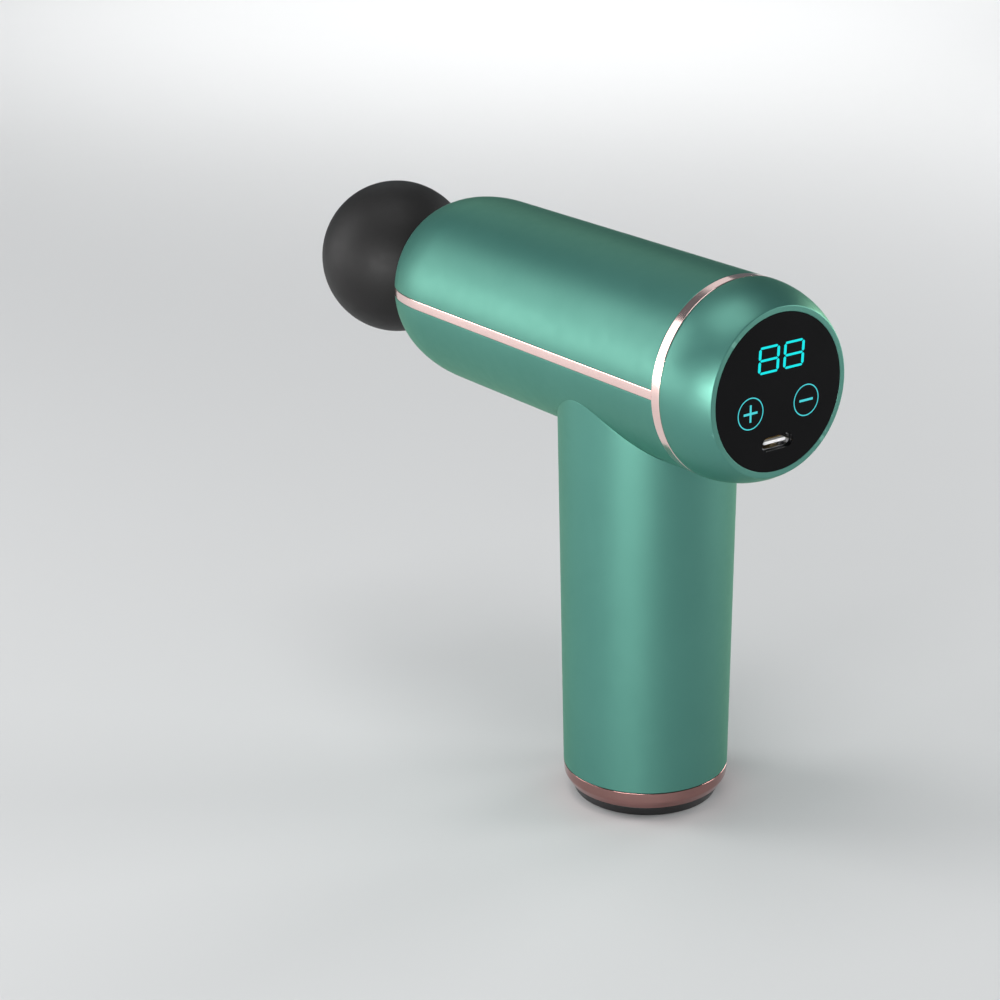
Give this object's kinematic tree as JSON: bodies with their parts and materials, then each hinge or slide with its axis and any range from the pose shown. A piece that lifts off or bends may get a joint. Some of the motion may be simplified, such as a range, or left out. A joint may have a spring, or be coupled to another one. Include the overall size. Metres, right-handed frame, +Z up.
{
  "type": "massage gun",
  "caption": "Compact pistol-shaped percussion massager with a round barrel, upright round handle, lit control panel with a charging port behind and a ball head in front.",
  "frame": {"origin": "centre of the foot's underside, on the handle's axis, where the massager stands", "axes": "+Z up along the handle, +Y along the barrel towards the massage head (the display faces -Y), +X to the right when looking at the head from behind the display"},
  "size_m": [0.048, 0.1761, 0.1412],
  "materials": {
    "body_shell": "satin",
    "trim": "polished",
    "black_rubber": "matte",
    "black_plastic": "matte",
    "head_plastic": "matte",
    "ball_rubber": "matte",
    "panel_lens": "gloss",
    "display_light": "gloss",
    "icon_light": "gloss",
    "screw_steel": "satin",
    "bearing_steel": "polished",
    "bearing_cage": "satin",
    "board_green": "satin",
    "chip_black": "matte",
    "foam": "matte",
    "brass": "satin",
    "port_steel": "polished",
    "port_tongue": "satin",
    "contact_gold": "polished",
    "wire_insulation": "satin",
    "phase_insulation": "satin",
    "chassis_plastic": "matte",
    "acetal": "satin",
    "motor_aluminium": "satin",
    "lamination": "satin",
    "winding_copper": "satin",
    "magnet": "satin",
    "bell_steel": "satin",
    "crank_steel": "satin",
    "rod_aluminium": "satin",
    "bush_bronze": "satin",
    "piston_plastic": "satin",
    "cell": "satin",
    "nickel": "satin"
  },
  "bodies": {
    "housing": {"barrel_upper_shell": "body_shell", "barrel_lower_shell": "body_shell", "handle_shell": "body_shell", "rear_cap": "body_shell", "side_trim_left": "trim", "side_trim_right": "trim", "rear_trim_ring": "trim", "base_trim_ring": "trim", "nose_seal": "black_rubber", "foot_pad": "black_rubber", "base_plug": "black_plastic", "base_screws": "screw_steel", "display_panel": "panel_lens", "display_digits": "display_light", "touch_icons": "icon_light", "display_led_module": "chip_black", "touch_pads": "foam", "display_board": "board_green", "board_screws": "screw_steel", "board_standoffs": "brass", "control_board": "board_green", "control_components": "chip_black", "usb_shell": "port_steel", "usb_tongue": "port_tongue", "usb_contacts": "contact_gold", "motor_leads": "phase_insulation", "battery_leads": "wire_insulation", "chassis": "chassis_plastic", "chassis_dampers": "black_rubber", "chassis_screws": "screw_steel", "guide_sleeve": "acetal", "motor_base": "motor_aluminium", "motor_screws": "screw_steel", "stator_core": "lamination", "stator_windings": "winding_copper", "motor_bearing_outers": "bearing_steel", "battery_cells": "cell", "battery_holders": "chip_black", "battery_straps": "nickel", "battery_board": "board_green"},
    "motor_bearing_set": {"motor_bearing_balls": "bearing_steel", "motor_bearing_cages": "bearing_cage"},
    "crankshaft": {"rotor_bell": "bell_steel", "rotor_magnets": "magnet", "motor_shaft": "bearing_steel", "motor_bearing_inners": "bearing_steel", "crank_wheel": "crank_steel", "crank_pin": "bearing_steel", "crank_pin_clip": "screw_steel", "crank_bearing_inner": "bearing_steel"},
    "crank_bearing_set": {"crank_bearing_balls": "bearing_steel", "crank_bearing_cage": "bearing_cage"},
    "rod": {"connecting_rod": "rod_aluminium", "crank_bearing_outer": "bearing_steel", "wrist_bush": "bush_bronze", "wrist_pin": "bearing_steel"},
    "piston": {"piston": "piston_plastic", "socket_orings": "black_rubber"},
    "head": {"head_stem": "head_plastic", "ball_cover": "ball_rubber"}
  },
  "joints": [
    {"name": "crank_spin", "type": "hinge", "parent": "housing", "child": "crankshaft", "pos_m": [0, 0, 0.11], "axis": [0, 0, 1], "continuous": true},
    {"name": "motor_bearing_spin", "type": "hinge", "parent": "housing", "child": "motor_bearing_set", "pos_m": [0, 0, 0.095], "axis": [0, 0, 1], "continuous": true},
    {"name": "crank_bearing_spin", "type": "hinge", "parent": "crankshaft", "child": "crank_bearing_set", "pos_m": [0, -0.003, 0.1172], "axis": [0, 0, 1], "continuous": true},
    {"name": "rod_pivot", "type": "hinge", "parent": "crankshaft", "child": "rod", "pos_m": [0, -0.003, 0.1172], "axis": [0, 0, 1], "continuous": true},
    {"name": "piston_slide", "type": "slide", "parent": "housing", "child": "piston", "axis": [0, 1, 0], "range_m": [0, 0.006]},
    {"name": "head_pull", "type": "slide", "parent": "piston", "child": "head", "axis": [0, 1, 0], "range_m": [0, 0.025]}
  ],
  "couplings": [
    {"joint": "rod_pivot", "follows": "crank_spin", "ratio": -1},
    {"joint": "crank_bearing_spin", "follows": "crank_spin", "ratio": -0.59893},
    {"joint": "motor_bearing_spin", "follows": "crank_spin", "ratio": 0.41975}
  ]
}
